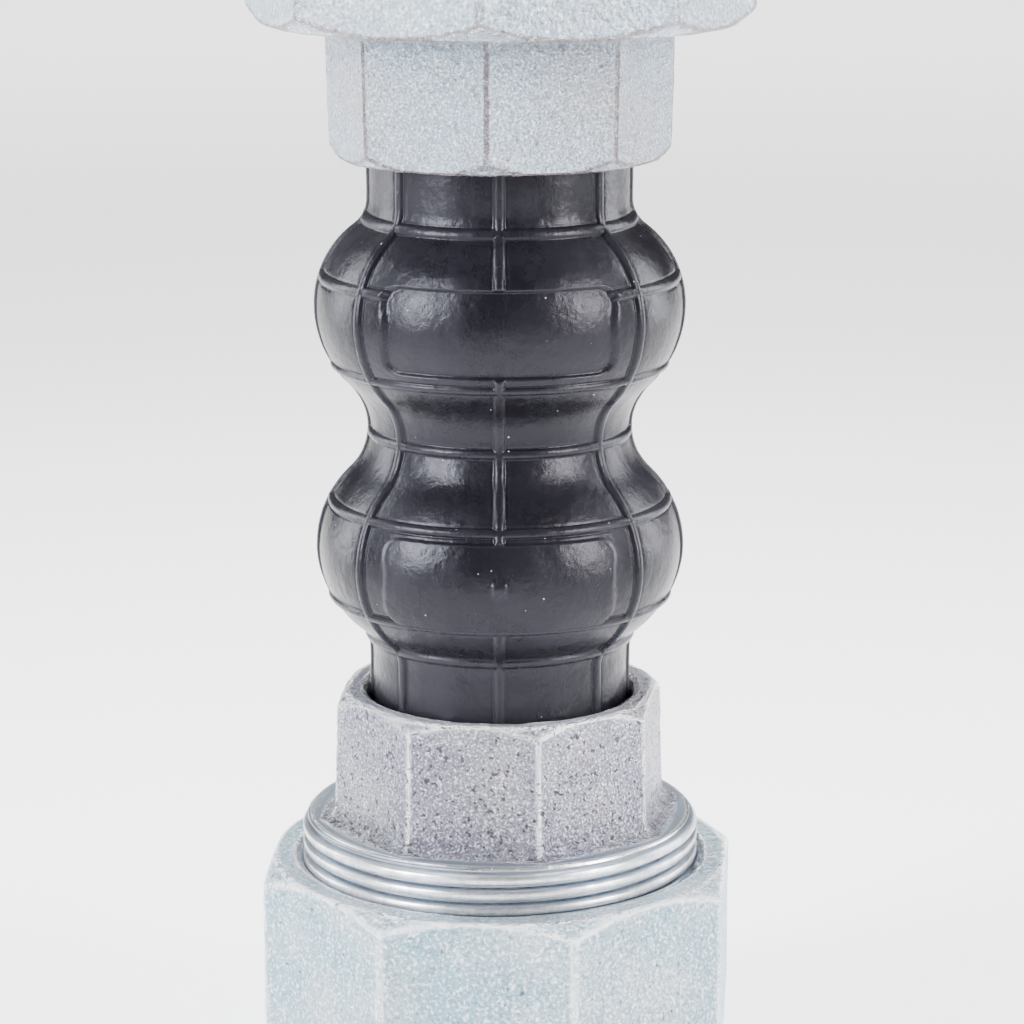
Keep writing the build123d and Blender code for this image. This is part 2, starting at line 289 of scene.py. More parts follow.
def calc(tree, operation, a, b=0.0, x=0, y=0, clamp=False):
    made = node(tree, "ShaderNodeMath", x, y, operation=operation, use_clamp=clamp)
    for socket, value in zip(made.inputs, (a, b)):
        if isinstance(value, bpy.types.NodeSocket):
            tree.links.new(value, socket)
        else:
            socket.default_value = value
    return made.outputs[0]


def newGroup(name, inputs, outputs):
    tree = bpy.data.node_groups.new(name, "ShaderNodeTree")
    for label, kind, value in inputs:
        socket = tree.interface.new_socket(label, in_out="INPUT", socket_type=kind)
        if value is not None:
            socket.default_value = value
    for label, kind in outputs:
        tree.interface.new_socket(label, in_out="OUTPUT", socket_type=kind)
    return tree, node(tree, "NodeGroupInput", -900).outputs, node(tree, "NodeGroupOutput", 900).inputs


def buildGrainGroup():
    # sand-cast grain: height for the bump, masks of grain crests (painted glints) and grain hollows (painted
    # shade), and dark pits
    tree, given, out = newGroup("castGrain", [
        ("Place", "NodeSocketVector", None), ("Grain", "NodeSocketFloat", 0.35),
        ("Pits", "NodeSocketFloat", 0.5),
    ], [("Height", "NodeSocketFloat"), ("Bright", "NodeSocketFloat"), ("HollowShade", "NodeSocketFloat"),
        ("Pit", "NodeSocketFloat")])
    link = tree.links.new
    scale = calc(tree, "DIVIDE", 1000.0, given["Grain"])
    grain = setInputs(node(tree, "ShaderNodeTexNoise", -600, 200), Detail=3.0, Roughness=0.62)
    link(given["Place"], grain.inputs["Vector"])
    link(scale, grain.inputs["Scale"])
    coarse = setInputs(node(tree, "ShaderNodeTexNoise", -600, 0), Detail=2.0, Roughness=0.5)
    link(given["Place"], coarse.inputs["Vector"])
    link(calc(tree, "MULTIPLY", scale, 0.3), coarse.inputs["Scale"])
    bumps = node(tree, "ShaderNodeTexVoronoi", -600, -250, feature="SMOOTH_F1")
    link(given["Place"], bumps.inputs["Vector"])
    link(calc(tree, "MULTIPLY", scale, 0.62), bumps.inputs["Scale"])
    pitSpots = setInputs(node(tree, "ShaderNodeTexNoise", -600, -500), Detail=1.5, Roughness=0.6)
    link(given["Place"], pitSpots.inputs["Vector"])
    link(calc(tree, "MULTIPLY", scale, 0.45), pitSpots.inputs["Scale"])
    patches = setInputs(node(tree, "ShaderNodeTexNoise", -600, -700), Scale=160.0, Detail=2.0)
    link(given["Place"], patches.inputs["Vector"])
    crowd = calc(tree, "MULTIPLY", calc(tree, "SUBTRACT", patches.outputs[0], 0.5), 0.16)
    level = calc(tree, "SUBTRACT", 0.76, calc(tree, "ADD", calc(tree, "MULTIPLY", given["Pits"], 0.2), crowd))
    pit = calc(tree, "MULTIPLY", calc(tree, "SUBTRACT", pitSpots.outputs[0], level), 16.0, clamp=True)
    height = calc(tree, "ADD", calc(tree, "MULTIPLY", grain.outputs[0], 0.55),
                  calc(tree, "MULTIPLY", coarse.outputs[0], 0.5))
    height = calc(tree, "SUBTRACT", height, calc(tree, "MULTIPLY", bumps.outputs[0], 0.35))
    link(calc(tree, "SUBTRACT", height, calc(tree, "MULTIPLY", pit, 0.5)), out["Height"])
    # crest and hollow masks, used for painted glints and painted shade
    above = calc(tree, "SUBTRACT", grain.outputs[0], 0.53)
    below = calc(tree, "SUBTRACT", 0.47, grain.outputs[0])
    link(calc(tree, "MULTIPLY", above, 8.0, clamp=True), out["Bright"])
    link(calc(tree, "MULTIPLY", below, 5.0, clamp=True), out["HollowShade"])
    link(pit, out["Pit"])
    return tree


def buildEdgeGroup():
    # masks from the "edge" attribute, broken up by noise: outward edges for wear with a painted highlight,
    # folded-in creases for painted shade
    tree, given, out = newGroup("edgeWearHighlightShade", [
        ("Place", "NodeSocketVector", None), ("Reach", "NodeSocketFloat", 1.0),
        ("Break", "NodeSocketFloat", 3.2),
    ], [("WearAndHighlight", "NodeSocketFloat"), ("ShadeInCreases", "NodeSocketFloat")])
    link = tree.links.new
    edge = node(tree, "ShaderNodeAttribute", -700, 0, attribute_name="edge")
    ragged = setInputs(node(tree, "ShaderNodeTexNoise", -700, -250), Scale=480.0, Detail=6.0, Roughness=0.75)
    link(given["Place"], ragged.inputs["Vector"])
    torn = calc(tree, "MULTIPLY", calc(tree, "SUBTRACT", ragged.outputs[0], 0.5), given["Break"])
    scaled = calc(tree, "MULTIPLY", edge.outputs["Fac"], given["Reach"])
    # outward edges: partly real wear, partly a painted highlight
    wearAndHighlight = calc(tree, "ADD", scaled, calc(tree, "MULTIPLY", torn, calc(tree, "MINIMUM", scaled, 1.0)))
    link(calc(tree, "MULTIPLY", wearAndHighlight, 1.3, clamp=True), out["WearAndHighlight"])
    # painted shade in folded-in creases, broken up by noise
    creaseShade = calc(tree, "MULTIPLY", calc(tree, "SUBTRACT", torn, scaled), 1.2)
    link(calc(tree, "MULTIPLY", creaseShade, calc(tree, "GREATER_THAN", 0.0, scaled), clamp=True), out["ShadeInCreases"])
    return tree


def buildDustGroup():
    # pale specks, faint smears and slow cloudiness on black rubber
    tree, given, out = newGroup("dust", [
        ("Place", "NodeSocketVector", None), ("Specks", "NodeSocketFloat", 0.5),
        ("Smears", "NodeSocketFloat", 0.5),
    ], [("Speck", "NodeSocketFloat"), ("Smear", "NodeSocketFloat"), ("Cloud", "NodeSocketFloat")])
    link = tree.links.new
    cells = setInputs(node(tree, "ShaderNodeTexVoronoi", -700, 200), Scale=420.0, Randomness=1.0)
    link(given["Place"], cells.inputs["Vector"])
    picker = node(tree, "ShaderNodeSeparateColor", -500, 300)
    link(cells.outputs["Color"], picker.inputs[0])
    cutoff = calc(tree, "SUBTRACT", 1.0, calc(tree, "MULTIPLY", given["Specks"], 0.12))
    chosen = calc(tree, "GREATER_THAN", picker.outputs[0], cutoff)
    size = calc(tree, "MULTIPLY", picker.outputs[1], 0.055)
    near = calc(tree, "LESS_THAN", cells.outputs["Distance"], size)
    link(calc(tree, "MULTIPLY", near, chosen), out["Speck"])
    stretched = setInputs(node(tree, "ShaderNodeMapping", -850, -100), Scale=(1.0, 1.0, 0.35))
    link(given["Place"], stretched.inputs["Vector"])
    smear = setInputs(node(tree, "ShaderNodeTexNoise", -700, -100), Scale=140.0, Detail=7.0, Roughness=0.68)
    link(stretched.outputs[0], smear.inputs["Vector"])
    strong = calc(tree, "MULTIPLY", calc(tree, "SUBTRACT", smear.outputs[0], 0.5), 2.6, clamp=True)
    link(calc(tree, "MULTIPLY", strong, given["Smears"]), out["Smear"])
    cloud = setInputs(node(tree, "ShaderNodeTexNoise", -700, -350), Scale=55.0, Detail=3.0)
    link(given["Place"], cloud.inputs["Vector"])
    link(cloud.outputs[0], out["Cloud"])
    return tree


grainGroup = buildGrainGroup()
edgeGroup = buildEdgeGroup()
dustGroup = buildDustGroup()
print("shared node groups built")


def newMaterial(name, **constants):
    material = bpy.data.materials.new(name)
    material.use_nodes = True
    tree = material.node_tree
    shader = tree.nodes["Principled BSDF"]
    for socket, value in constants.items():
        shader.inputs[socket.replace("_", " ")].default_value = value
    return material, tree, shader


def useGroup(tree, group, place, **values):
    made = node(tree, "ShaderNodeGroup", -500, 0, node_tree=group)
    tree.links.new(place, made.inputs["Place"])
    for name, value in values.items():
        if isinstance(value, bpy.types.NodeSocket):
            tree.links.new(value, made.inputs[name])
        else:
            made.inputs[name].default_value = value
    return made.outputs


def bumpFrom(tree, height, distance, strength=1.0):
    made = setInputs(node(tree, "ShaderNodeBump", -150, -300), Distance=distance, Strength=strength)
    tree.links.new(height, made.inputs["Height"])
    return made.outputs["Normal"]


zincLooks = {
    "galvanisedNut": dict(tint=(0.42, 0.51, 0.61), darkerEnd=(0.26, 0.42, 0.51), warm=(0.52, 0.54, 0.57),
                          dark=(0.07, 0.10, 0.13), grime=(0.20, 0.16, 0.15), pits=0.3, grain=0.55,
                          roughness=0.32, reach=0.7),
    "galvanisedCollar": dict(tint=(0.40, 0.50, 0.60), darkerEnd=(0.25, 0.25, 0.325), warm=(0.44, 0.43, 0.45),
                             dark=(0.05, 0.045, 0.055), grime=(0.14, 0.10, 0.10), pits=0.75, grain=0.36,
                             roughness=0.34, reach=0.65),
    "galvanisedTailpiece": dict(tint=(0.40, 0.47, 0.54), darkerEnd=(0.31, 0.38, 0.44), warm=(0.48, 0.48, 0.47),
                                dark=(0.08, 0.08, 0.10), grime=(0.16, 0.14, 0.13), pits=0.4, grain=0.5,
                                roughness=0.36, reach=0.65),
}


def zincMaterial(name):
    look = zincLooks[name]
    material, tree, shader = newMaterial(name, Metallic=0.9, Specular_IOR_Level=0.5)
    link = tree.links.new
    place = node(tree, "ShaderNodeTexCoord", -1100).outputs["Object"]
    cast = node(tree, "ShaderNodeAttribute", -1100, -300, attribute_name="cast").outputs["Fac"]
    grain = useGroup(tree, grainGroup, place, Grain=look["grain"], Pits=look["pits"])
    wear = useGroup(tree, edgeGroup, place, Reach=look["reach"])
    mottle = setInputs(node(tree, "ShaderNodeTexNoise", -900, 300), Scale=75.0, Detail=4.0, Roughness=0.6)
    link(place, mottle.inputs["Vector"])
    pitting = node(tree, "ShaderNodeAttribute", -1100, -450, attribute_name="pitting").outputs["Fac"]
    # darker, greyer colour towards the lower end
    base = mixColour(tree, pitting, look["tint"], look["darkerEnd"])
    base = mixColour(tree, ramp(tree, mottle.outputs[0], [(0.4, 0.0), (0.7, 0.8)]), base, look["warm"])
    # painted shade: the hollows of the cast grain are darkened
    hollow = calc(tree, "MULTIPLY", calc(tree, "MULTIPLY", grain["HollowShade"], 0.6), cast)
    base = mixColour(tree, hollow, base, look["dark"])
    # painted glints: the crests of the cast grain are turned near white
    bright = calc(tree, "MULTIPLY", grain["Bright"], 0.95)
    base = mixColour(tree, calc(tree, "MULTIPLY", bright, cast), base, (0.93, 0.95, 0.99))
    plain = calc(tree, "SUBTRACT", 1.0, cast)
    base = mixColour(tree, calc(tree, "MULTIPLY", plain, 0.45), base, look["dark"])
    # how far a piece belongs to the darker lower end
    darkerEnd = calc(tree, "MULTIPLY", calc(tree, "SUBTRACT", pitting, 0.2), 2.5, clamp=True)
    # edge colour: bright bare metal on the darker lower end and machined faces, grime elsewhere; used for real
    # wear and for a painted highlight
    bareAndHighlight = mixColour(tree, calc(tree, "MAXIMUM", darkerEnd, plain), look["grime"], (0.95, 0.95, 0.97))
    base = mixColour(tree, calc(tree, "MULTIPLY", wear["WearAndHighlight"], 0.85), base, bareAndHighlight)
    # painted shade: folded-in creases and thread roots darkened
    base = mixColour(tree, calc(tree, "MULTIPLY", wear["ShadeInCreases"], 0.55), base, look["dark"])
    pitted = calc(tree, "MULTIPLY", calc(tree, "MULTIPLY", grain["Pit"], pitting), 0.85)
    base = mixColour(tree, pitted, base, look["dark"])
    link(base, shader.inputs["Base Color"])
    rings = setInputs(node(tree, "ShaderNodeTexNoise", -900, -500), Scale=1.0, Detail=3.0, Roughness=0.8)
    spun = setInputs(node(tree, "ShaderNodeMapping", -1000, -500), Scale=(60.0, 60.0, 2600.0))
    link(place, spun.inputs["Vector"])
    link(spun.outputs[0], rings.inputs["Vector"])
    rough = calc(tree, "ADD", calc(tree, "MULTIPLY", cast, look["roughness"]),
                 calc(tree, "MULTIPLY", plain, 0.38))
    rough = calc(tree, "SUBTRACT", rough, calc(tree, "MULTIPLY", wear["WearAndHighlight"], 0.12))
    rough = calc(tree, "ADD", rough, calc(tree, "MULTIPLY", grain["Pit"], 0.2), clamp=True)
    link(rough, shader.inputs["Roughness"])
    height = calc(tree, "ADD", calc(tree, "MULTIPLY", grain["Height"], cast),
                  calc(tree, "MULTIPLY", calc(tree, "MULTIPLY", rings.outputs[0], plain), 0.04))
    link(bumpFrom(tree, height, 0.0015), shader.inputs["Normal"])
    return material


zinc = {name: zincMaterial(name) for name in zincLooks}
print("zinc finishes built")

# the lower end's pieces are more pitted and mixed towards a darker, greyer colour than the upper end's
ends = {
    "upper": dict(side=1, collarTurn=-4.0, nutTurn=-4.0, tailTurn=9.0, seed=1.0, pitting=0.15),
    "lower": dict(side=-1, collarTurn=13.0, nutTurn=17.0, tailTurn=-11.0, seed=2.0, pitting=1.0),
}


def innerFace(nodeName, side):                  # height of the face towards the waist, in metres
    low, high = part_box(nodeName)
    return low.z if side > 0 else high.z


def newSection():                               # a section's rows, how rough-cast each is, and their adder
    rows, weights = [], []

    def add(row, cast=1.0):
        rows.append(row)
        weights.append(cast)
    return rows, weights, add


def castOctagon(rows, weights, size, segments, firstCorner, pitting, lumpSize, seed):
    corners = [firstCorner + sideAngle * i for i in range(8)]
    bm = spinRows(rows, segments, corners, octagonEdge(size["apothem"], size["corner"], firstCorner))
    markSurface(bm, weights, pitting)
    wrinkle(bm, size["wrinkle"], weights, lumpSize, seed)
    return bm


collarSize = dict(apothem=23.5, draft=0.45, corner=1.1, height=19.2, rimR=23.6, rimDrop=2.2, rimLift=1.9,
                  rimSoft=0.4, rimEase=0.6,
                  boreR=19.95, mouth=1.0, footFillet=2.0, discR=29.807, threadDepth=1.15, length=32.2,
                  seatIn=22.8, seatOut=26.3, seatR=25.4, wrinkle=0.10)


def buildCollar(end):
    s = collarSize
    cfg = ends[end]
    shoulder, rimDrop = s["height"], s["rimDrop"]
    core = s["discR"] - s["threadDepth"]
    rows, weights, add = newSection()

    def wall(z):
        scale = 1 - s["draft"] / s["apothem"] * (1 - z / shoulder)
        rim = s["rimR"] - (rimDrop - z) + s["rimLift"] if z < rimDrop else farOut
        foot = max(0.0, s["footFillet"] - (shoulder - z))
        swell = s["footFillet"] - sqrt(max(0.0, s["footFillet"] ** 2 - foot**2))
        return lambda edge: (softMin(edge * scale, rim + 0 * edge, s["rimSoft"]) + swell, z)

    for t in stepsBetween(0, 1, 0.14):          # rim face, from the bore outwards
        inner = s["boreR"] + s["mouth"]
        add(lambda edge, t=t: (lerp(inner, np.minimum(edge * 0.98, s["rimR"]) - s["rimEase"], t), 0.0))
    for z in stepsBetween(0.12, rimDrop, 0.3) + stepsBetween(rimDrop, shoulder - 2, 0.42):
        add(wall(z))
    for z in stepsBetween(shoulder - 2, shoulder, 0.22):
        add(wall(z))
    for t in stepsBetween(0.0, 1.0, 0.12):      # top of the disc, turned bright
        shine = 1.0 - min(1, t * 2.2)
        add(lambda edge, t=t: (lerp(edge + s["footFillet"] + 0.02, core - 0.1, t), shoulder), shine)
    for z in stepsBetween(shoulder + 0.1, s["length"] - 0.2, 0.6):
        add((core, z), 0.0)
    for r in stepsBetween(core - 0.3, s["seatR"], 0.8):
        add((r, s["length"]), 0.0)
    add((s["seatR"], s["length"] - 0.3), 0.0)
    add((s["seatR"], s["seatOut"]), 0.0)
    add((s["boreR"], s["seatIn"]), 0.0)
    for z in stepsBetween(s["seatIn"] - 1, s["mouth"], 1.2):
        add((s["boreR"], z), 0.7)
    add((s["boreR"], s["mouth"]))
    add((s["boreR"] + s["mouth"] * 0.3, s["mouth"] * 0.3))
    bm = castOctagon(rows, weights, s, 416, cfg["collarTurn"], cfg["pitting"], 2.6, cfg["seed"])
    addThread(bm, core, s["threadDepth"], shoulder, s["length"], crest=1.1, foot=2.05, hand=cfg["side"])
    return makePiece(bm, f"{end}Collar", zinc["galvanisedCollar"], [f"{end}_collar"],
                     innerFace(f"{end}_collar", cfg["side"]), cfg["side"], f"{end}_ring")


for end in ends:
    buildCollar(end)
print("collars built")

nutSize = dict(apothem=34.2, corner=1.7, height=28.5, chamferR=34.2, chamferSlope=0.78, soft=0.7, boreR=29.95,
               mouth=0.9, threadFrom=0.2, threadTo=17.3, reliefR=30.6, lipAt=21.8, lipR=22.8, threadDepth=1.0,
               drop=2.4, faceEase=0.35, wrinkle=0.10)


def buildNut(end):
    s = nutSize
    cfg = ends[end]
    height, drop = s["height"], s["drop"]
    rows, weights, add = newSection()

    def wall(z):
        cone = s["chamferR"] + min(z, height - z) / s["chamferSlope"]
        return lambda edge: (softMin(edge, cone + 0 * edge, s["soft"]), z)

    def face(t, z, innerR):
        rim = s["chamferR"]
        return lambda edge: (lerp(np.minimum(edge, rim) - s["faceEase"], innerR + s["mouth"], t), z)

    for t in reversed(stepsBetween(0, 1, 0.12)):
        add(face(t, 0.0, s["boreR"]), 0.85)
    for z in stepsBetween(0.15, drop, 0.3) + stepsBetween(drop, height - drop, 0.5):
        add(wall(z))
    for z in stepsBetween(height - drop, height - 0.1, 0.3):
        add(wall(z))
    for t in stepsBetween(0, 1, 0.06):
        add(face(t, height, s["lipR"]), 0.85)
    add((s["lipR"] + s["mouth"] * 0.4, height - s["mouth"] * 0.4), 0.5)
    for z in stepsBetween(height - s["mouth"], s["lipAt"], 1.0):
        add((s["lipR"], z), 0.2)
    for r in stepsBetween(s["lipR"], s["reliefR"], 1.2):
        add((r, s["lipAt"]), 0.0)
    for z in stepsBetween(s["lipAt"], s["threadTo"], 0.9):
        add((s["reliefR"], z), 0.3)
    for z in stepsBetween(s["threadTo"] - 0.7, s["mouth"], 0.9):
        add((s["boreR"], z), 0.0)
    add((s["boreR"] + s["mouth"] * 0.4, s["mouth"] * 0.4), 0.0)
    bm = castOctagon(rows, weights, s, 416, cfg["nutTurn"], cfg["pitting"], 3.0, cfg["seed"] + 4)
    # the nut's ridge lies in the collar's groove: half a pitch off the collar's ridge, at the same angle
    offset = (innerFace(f"{end}_union_nut", cfg["side"]) - innerFace(f"{end}_collar", cfg["side"])) / mm
    phase = 0.5 + (collarSize["height"] - s["threadFrom"] - offset * cfg["side"]) / pitch
    addThread(bm, s["boreR"], s["threadDepth"], s["threadFrom"], s["threadTo"] - 0.8, crest=0.35, foot=1.05,
              hand=cfg["side"], phase=phase, inward=True)
    return makePiece(bm, f"{end}UnionNut", zinc["galvanisedNut"], [f"{end}_union_nut"],
                     innerFace(f"{end}_union_nut", cfg["side"]), cfg["side"], f"{end}_nut")


for end in ends:
    buildNut(end)
print("union nuts built")

tailSize = dict(flangeR=27.2, flangeTo=7.9, shankR=22.1, octagonFrom=15.6, length=27.0, apothem=20.5,
                corner=1.2, chamferR=20.6, boreR=12.75, threadR=15.145, threadDeep=19.0, mouthR=17.0,
                threadRise=1.25, gasketGap=0.06, wrinkle=0.08)


def buildTailpiece(end):
    s = tailSize
    cfg = ends[end]
    length = s["length"]
    rows, weights, add = newSection()

    def head(z):
        cone = s["chamferR"] + (length - z) / 0.6
        return lambda edge: (softMin(np.minimum(edge, s["shankR"]), cone + 0 * edge, 0.5), z)

    for r in stepsBetween(s["boreR"] + 0.3, s["flangeR"] - 0.5, 1.0):
        add((r, s["gasketGap"]), 0.0)
    add((s["flangeR"] - 0.5, s["gasketGap"]), 0.0)
    for z in stepsBetween(0.5, s["flangeTo"] - 0.5, 1.2):
        add((s["flangeR"], z), 0.1)
    for r in stepsBetween(s["flangeR"] - 0.4, s["shankR"], 0.9):
        add((r, s["flangeTo"]), 0.1)
    for z in stepsBetween(s["flangeTo"] + 0.2, s["octagonFrom"], 0.6):
        add((s["shankR"], z))
    chamferFrom = length - 1.6
    for z in stepsBetween(s["octagonFrom"], chamferFrom, 0.5) + stepsBetween(chamferFrom, length - 0.1, 0.25):
        add(head(z))
    for t in stepsBetween(0, 1, 0.12):
        add(lambda edge, t=t: (lerp(np.minimum(edge, s["chamferR"]) - 0.3, s["mouthR"], t), length), 0.4)
    major = s["threadR"] + s["threadRise"]
    add((major + 0.1, length - 0.7), 0.0)
    for z in stepsBetween(length - 1.2, length - s["threadDeep"], 0.8):
        add((major, z), 0.0)
    add((s["boreR"], length - s["threadDeep"] - 2.4), 0.2)
    for z in stepsBetween(length - s["threadDeep"] - 3, 0.3, 1.0):
        add((s["boreR"], z), 0.3)
    bm = castOctagon(rows, weights, s, 320, cfg["tailTurn"], cfg["pitting"], 2.6, cfg["seed"] + 8)
    addThread(bm, major, s["threadRise"], length - s["threadDeep"], length - 0.3, crest=0.5, foot=1.9,
              hand=cfg["side"], inward=True, segments=120)
    return makePiece(bm, f"{end}Tailpiece", zinc["galvanisedTailpiece"],
                     [f"{end}_tailpiece"], innerFace(f"{end}_tailpiece", cfg["side"]), cfg["side"],
                     f"{end}_end")


for end in ends:
    buildTailpiece(end)
print("tailpieces built")

# the outline that all the rubber layers follow, as in the frame
bodySize = dict(neckR=18.95, waistR=19.05, crestR=26.8, crestOut=18.1, waistFillet=9.0, crestArcWaist=16.0,
                crestArcNeck=14.5, neckFillet=5.0, coneOut=62.3, shoulderOut=65.8, beadR=25.0, beadCorner=0.6,
                turnR=17.0, turnOut=68.5, plyEdgeR=23.5, hiddenOut=42.0, coverDepth=2.45, tubeDepth=4.45)
openEnd = 90                                    # further out than the rubber goes, so nothing is cut there


def arcPoints(centre, radius, start, end, hollow, spacing):
    # an arc's points from start to end, as (r, out, normal r, normal out)
    count = max(2, round(abs(end - start) * radius / spacing))
    points = []
    for i in range(count):
        a = lerp(start, end, i / count)
        sign = -1 if hollow else 1
        across, along = cos(a), sin(a)
        points.append((centre[0] + radius * across, centre[1] + radius * along, sign * across, sign * along))
    return points


def halfOutline(spacing):
    b = bodySize
    waist = (b["waistR"] + b["waistFillet"], 0.0)
    crestIn = (b["crestR"] - b["crestArcWaist"], b["crestOut"])
    crestNeck = (b["crestR"] - b["crestArcNeck"], b["crestOut"])
    reach = b["crestArcNeck"] + b["neckFillet"]
    neckR = b["neckR"] + b["neckFillet"]
    neck = (neckR, b["crestOut"] + sqrt(reach**2 - (neckR - crestNeck[0]) ** 2))
    waistAngle = atan2(crestIn[1] - waist[1], crestIn[0] - waist[0])
    neckAngle = atan2(neck[1] - crestNeck[1], neck[0] - crestNeck[0])
    points = arcPoints(waist, b["waistFillet"], pi, waistAngle, True, spacing)
    points += arcPoints(crestIn, b["crestArcWaist"], waistAngle - pi, 0.0, False, spacing)
    points += arcPoints(crestNeck, b["crestArcNeck"], 0.0, neckAngle, False, spacing)
    points += arcPoints(neck, b["neckFillet"], neckAngle + pi, pi, True, spacing)
    points += [(b["neckR"], z, 1.0, 0.0) for z in stepsBetween(neck[1], b["hiddenOut"], spacing)]
    points += [(b["neckR"], z, 1.0, 0.0) for z in stepsBetween(b["hiddenOut"], b["turnOut"], 2.4)]
    return points


def crowdedRows(half, rings, count, width=1.1, gain=3.0):
    # thins a finely stepped outline to about count rows, closest together near the moulded rings
    places = np.array([(r, z) for r, z, nr, nz in half])
    along = np.concatenate([[0], np.cumsum(np.hypot(*np.diff(places, axis=0).T))])
    density = 1 + sum(gain * np.exp(-((places[:, 1] - ring) / width) ** 2) for ring in rings)
    share = np.concatenate([[0], np.cumsum(np.diff(along) * density[1:])])
    wanted = np.interp(np.arange(count) / count * share[-1], share, np.arange(len(half)))
    return [half[round(i)] for i in wanted]


def bothHalves(half):                           # from the lower end up to the upper one
    lower = [(r, -z, nr, -nz) for r, z, nr, nz in reversed(half[1:])]
    return lower + half


def turnedOut(depth, edgeR):
    # where a layer turns outwards into the bead
    b = bodySize
    radius = b["turnR"] - (b["neckR"] - depth)
    arc = arcPoints((b["turnR"], b["turnOut"]), radius, pi, pi / 2, False, 0.5)
    face = b["turnOut"] + radius
    flat = [(r, face) for r in stepsBetween(b["turnR"], edgeR, 1.0)] + [(edgeR, face)]
    return [(r, z) for r, z, nr, nz in arc] + flat


def layerSide(depth, edgeR, spacing):
    # one face of a layer, end to end, as (r, out)
    middle = [(r - depth * nr, z - depth * nz) for r, z, nr, nz in bothHalves(halfOutline(spacing))]
    end = turnedOut(depth, edgeR)
    return [(r, -z) for r, z in reversed(end)] + middle + end


zones = {
    "Lower": dict(low=-openEnd, high=-23.0, bodies=("lower_ring", "lower_sphere"), bend=(-42.0, -23.0)),
    "Middle": dict(low=-23.0, high=23.0, bodies=("lower_sphere", "upper_sphere"), bend=(-23.0, 23.0)),
    "Upper": dict(low=23.0, high=openEnd, bodies=("upper_sphere", "upper_ring"), bend=(23.0, 42.0)),
}


def cutZone(whole, low, high):
    # the stretch of a layer between two heights, closed across each cut
    bm = whole.copy()
    for height, keepAbove in ((low, True), (high, False)):
        if abs(height) == openEnd:
            continue
        near = 0.02 if keepAbove else -0.02     # a thin row beside the cut keeps the shading even
        everything = bm.verts[:] + bm.edges[:] + bm.faces[:]
        bmesh.ops.bisect_plane(bm, geom=everything, dist=1e-6, plane_co=(0, 0, height + near), plane_no=up)
        everything = bm.verts[:] + bm.edges[:] + bm.faces[:]
        cut = bmesh.ops.bisect_plane(bm, geom=everything, dist=1e-6, plane_co=(0, 0, height), plane_no=up,
                                     clear_inner=keepAbove, clear_outer=not keepAbove)
        rim = [e for e in cut["geom_cut"] if isinstance(e, bmesh.types.BMEdge) and e.is_boundary]
        for edge in rim:
            edge.smooth = False
        bmesh.ops.bridge_loops(bm, edges=rim)
    bmesh.ops.recalc_face_normals(bm, faces=bm.faces[:])
    return bm


def makeLayer(whole, name, material, nodeName):
    for zone, z in zones.items():
        bm = cutZone(whole, z["low"], z["high"])
        piece = makePiece(bm, f"{name}{zone}", material, [nodeName], waistZ)
        co = np.zeros(len(piece.data.vertices) * 3, np.float32)
        piece.data.vertices.foreach_get("co", co)
        place = piece.data.attributes.new("place", "FLOAT_VECTOR", "POINT")
        place.data.foreach_set("vector", co)    # so that patterns stay on the rubber as it bends
        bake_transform(piece, *z["bodies"], (0, 0, waistZ + z["bend"][0] * mm), (0, 0, waistZ + z["bend"][1] * mm))
    whole.free()


rubberLook = dict(colour=(0.0045, 0.0042, 0.0062), bloom=(0.030, 0.028, 0.038), speck=(0.45, 0.46, 0.5),
                  roughness=0.27, bump=0.00009)


def placeOn(tree):                              # where a point of the rubber is at rest
    return node(tree, "ShaderNodeAttribute", -1100, attribute_name="place").outputs["Vector"]


def rubberMaterial():
    look = rubberLook
    material, tree, shader = newMaterial("coverRubber", Specular_IOR_Level=0.24,
                                         Specular_Tint=(0.88, 0.87, 1.0, 1.0))
    link = tree.links.new
    place = placeOn(tree)
    dust = useGroup(tree, dustGroup, place, Specks=5.0, Smears=0.8)
    wear = useGroup(tree, edgeGroup, place, Reach=0.3, Break=1.6)
    cloudy = ramp(tree, dust["Cloud"], [(0.42, 0.0), (0.75, 0.3)])
    base = mixColour(tree, cloudy, look["colour"], look["bloom"])
    base = mixColour(tree, calc(tree, "MULTIPLY", dust["Smear"], 0.35), base, look["bloom"])
    # rib and ring edges lightened: partly rubbed wear, partly a painted highlight
    base = mixColour(tree, calc(tree, "MULTIPLY", wear["WearAndHighlight"], 0.25), base, look["bloom"])
    base = mixColour(tree, dust["Speck"], base, look["speck"])
    link(base, shader.inputs["Base Color"])
    rough = calc(tree, "ADD", look["roughness"], calc(tree, "MULTIPLY", dust["Smear"], 0.22))
    rough = calc(tree, "ADD", rough, calc(tree, "MULTIPLY", calc(tree, "SUBTRACT", dust["Cloud"], 0.5), 0.25))
    link(rough, shader.inputs["Roughness"])
    skin = setInputs(node(tree, "ShaderNodeTexNoise", -700, -600), Scale=420.0, Detail=6.0, Roughness=0.62)
    link(place, skin.inputs["Vector"])
    height = calc(tree, "ADD", calc(tree, "MULTIPLY", skin.outputs[0], 2.2),
                  calc(tree, "MULTIPLY", dust["Speck"], 0.8))
    link(bumpFrom(tree, height, look["bump"]), shader.inputs["Normal"])
    return material


def tubeMaterial():
    material, tree, shader = newMaterial("tubeRubber", Specular_IOR_Level=0.5)
    link = tree.links.new
    place = placeOn(tree)
    dust = useGroup(tree, dustGroup, place, Specks=0.2, Smears=0.4)
    base = mixColour(tree, dust["Cloud"], (0.02, 0.02, 0.022), (0.045, 0.044, 0.048))
    link(base, shader.inputs["Base Color"])
    link(calc(tree, "ADD", 0.45, calc(tree, "MULTIPLY", dust["Smear"], 0.2)), shader.inputs["Roughness"])
    link(bumpFrom(tree, dust["Cloud"], 0.0001), shader.inputs["Normal"])
    return material


